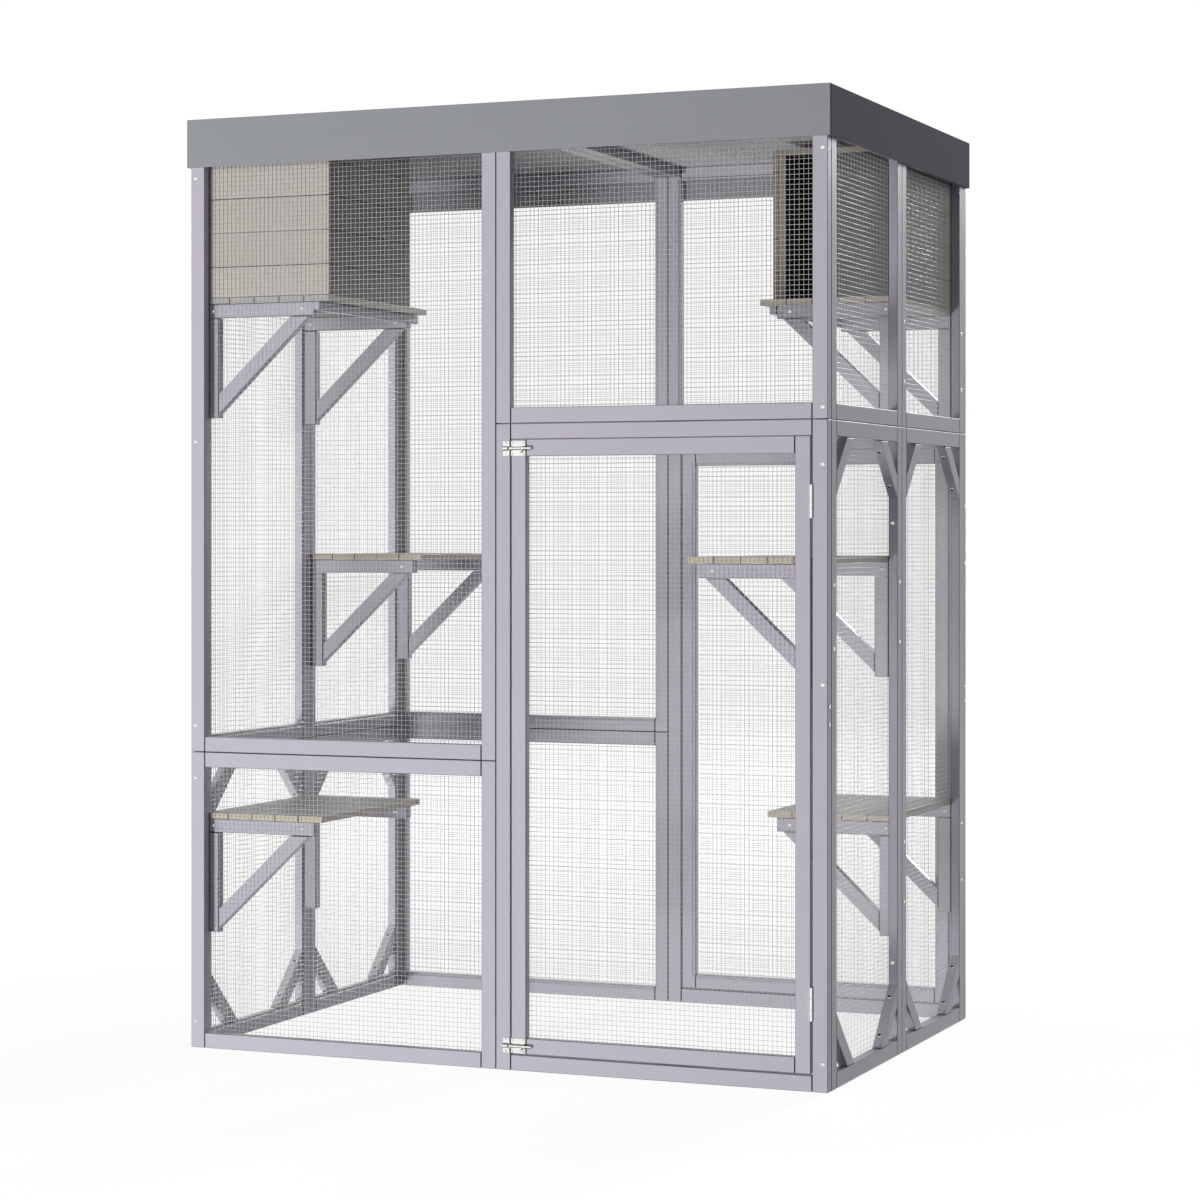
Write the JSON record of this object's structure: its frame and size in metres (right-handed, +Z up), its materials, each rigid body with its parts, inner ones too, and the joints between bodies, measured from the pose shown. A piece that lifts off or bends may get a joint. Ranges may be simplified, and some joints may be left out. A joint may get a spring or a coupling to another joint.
{
  "type": "catio",
  "caption": "Free-standing outdoor cat enclosure of framed wire-net panels, with wall shelves, nest boxes, a flat roof and hinged doors with sliding bolts.",
  "frame": {"origin": "middle of the base, on the ground", "axes": "+X to the right seen from the front, +Y to the back, +Z up"},
  "size_m": [1.31, 0.928, 1.8],
  "materials": {
    "frame_paint": "lavender-grey paint, satin",
    "net_wire": "galvanised welded wire",
    "shelf_board": "grey face with pale cut edges",
    "roof_board": "pale grey boards, matt",
    "nest_board": "pale beige-grey boards, matt",
    "roof_felt": "mineral-faced roofing felt",
    "fascia_paint": "blue-grey paint, satin",
    "nickel_hardware": "bright nickel plate"
  },
  "bodies": {
    "frame": {"front_left_lower_panel": "frame_paint", "front_left_upper_panel": "frame_paint", "front_right_lower_panel": "frame_paint", "front_right_upper_panel": "frame_paint", "back_left_lower_panel": "frame_paint", "back_left_upper_panel": "frame_paint", "back_right_lower_panel": "frame_paint", "back_right_upper_panel": "frame_paint", "left_front_lower_panel": "frame_paint", "left_front_upper_panel": "frame_paint", "left_back_lower_panel": "frame_paint", "left_back_upper_panel": "frame_paint", "right_front_lower_panel": "frame_paint", "right_front_upper_panel": "frame_paint", "right_back_lower_panel": "frame_paint", "right_back_upper_panel": "frame_paint", "left_corner_braces": "frame_paint", "right_corner_braces": "frame_paint", "front_nets": "net_wire", "back_nets": "net_wire", "left_nets": "net_wire", "right_nets": "net_wire", "left_low_shelf": "shelf_board", "left_middle_shelf": "shelf_board", "left_high_shelf": "shelf_board", "right_low_shelf": "shelf_board", "right_middle_shelf": "shelf_board", "right_high_shelf": "shelf_board", "left_brackets": "frame_paint", "right_brackets": "frame_paint", "left_nest_walls": "nest_board", "left_nest_posts": "nest_board", "left_nest_top": "nest_board", "right_nest_walls": "nest_board", "right_nest_posts": "nest_board", "right_nest_top": "nest_board", "left_roof_deck": "roof_board", "right_roof_deck": "roof_board", "roof_beams": "frame_paint", "roof_felt": "roof_felt", "fascia": "fascia_paint", "hinge_post_leaves": "nickel_hardware", "hinge_pins": "nickel_hardware", "bolt_keepers": "nickel_hardware", "frame_screws": "nickel_hardware"},
    "front_door": {"front_door_frame": "frame_paint", "front_door_net": "net_wire", "front_hinge_door_leaves": "nickel_hardware", "front_bolt_plates": "nickel_hardware", "front_door_screws": "nickel_hardware"},
    "front_top_bolt_rod": {"front_top_bolt": "nickel_hardware"},
    "front_bottom_bolt_rod": {"front_bottom_bolt": "nickel_hardware"},
    "back_door": {"back_door_frame": "frame_paint", "back_door_net": "net_wire", "back_hinge_door_leaves": "nickel_hardware", "back_bolt_plates": "nickel_hardware", "back_door_screws": "nickel_hardware"},
    "back_top_bolt_rod": {"back_top_bolt": "nickel_hardware"},
    "back_bottom_bolt_rod": {"back_bottom_bolt": "nickel_hardware"}
  },
  "joints": [
    {"name": "front_door_hinge", "type": "hinge", "parent": "frame", "child": "front_door", "pos_m": [0.61775, -0.4582, 0.6], "axis": [0, 0, 1], "range_deg": [0, 170]},
    {"name": "back_door_hinge", "type": "hinge", "parent": "frame", "child": "back_door", "pos_m": [0.03125, 0.4582, 0.6], "axis": [0, 0, 1], "range_deg": [0, 170]},
    {"name": "front_top_bolt_slide", "type": "slide", "parent": "front_door", "child": "front_top_bolt_rod", "axis": [-1, 0, 0], "range_m": [0, 0.013]},
    {"name": "front_bottom_bolt_slide", "type": "slide", "parent": "front_door", "child": "front_bottom_bolt_rod", "axis": [-1, 0, 0], "range_m": [0, 0.013]},
    {"name": "back_top_bolt_slide", "type": "slide", "parent": "back_door", "child": "back_top_bolt_rod", "axis": [1, 0, 0], "range_m": [0, 0.013]},
    {"name": "back_bottom_bolt_slide", "type": "slide", "parent": "back_door", "child": "back_bottom_bolt_rod", "axis": [1, 0, 0], "range_m": [0, 0.013]}
  ]
}
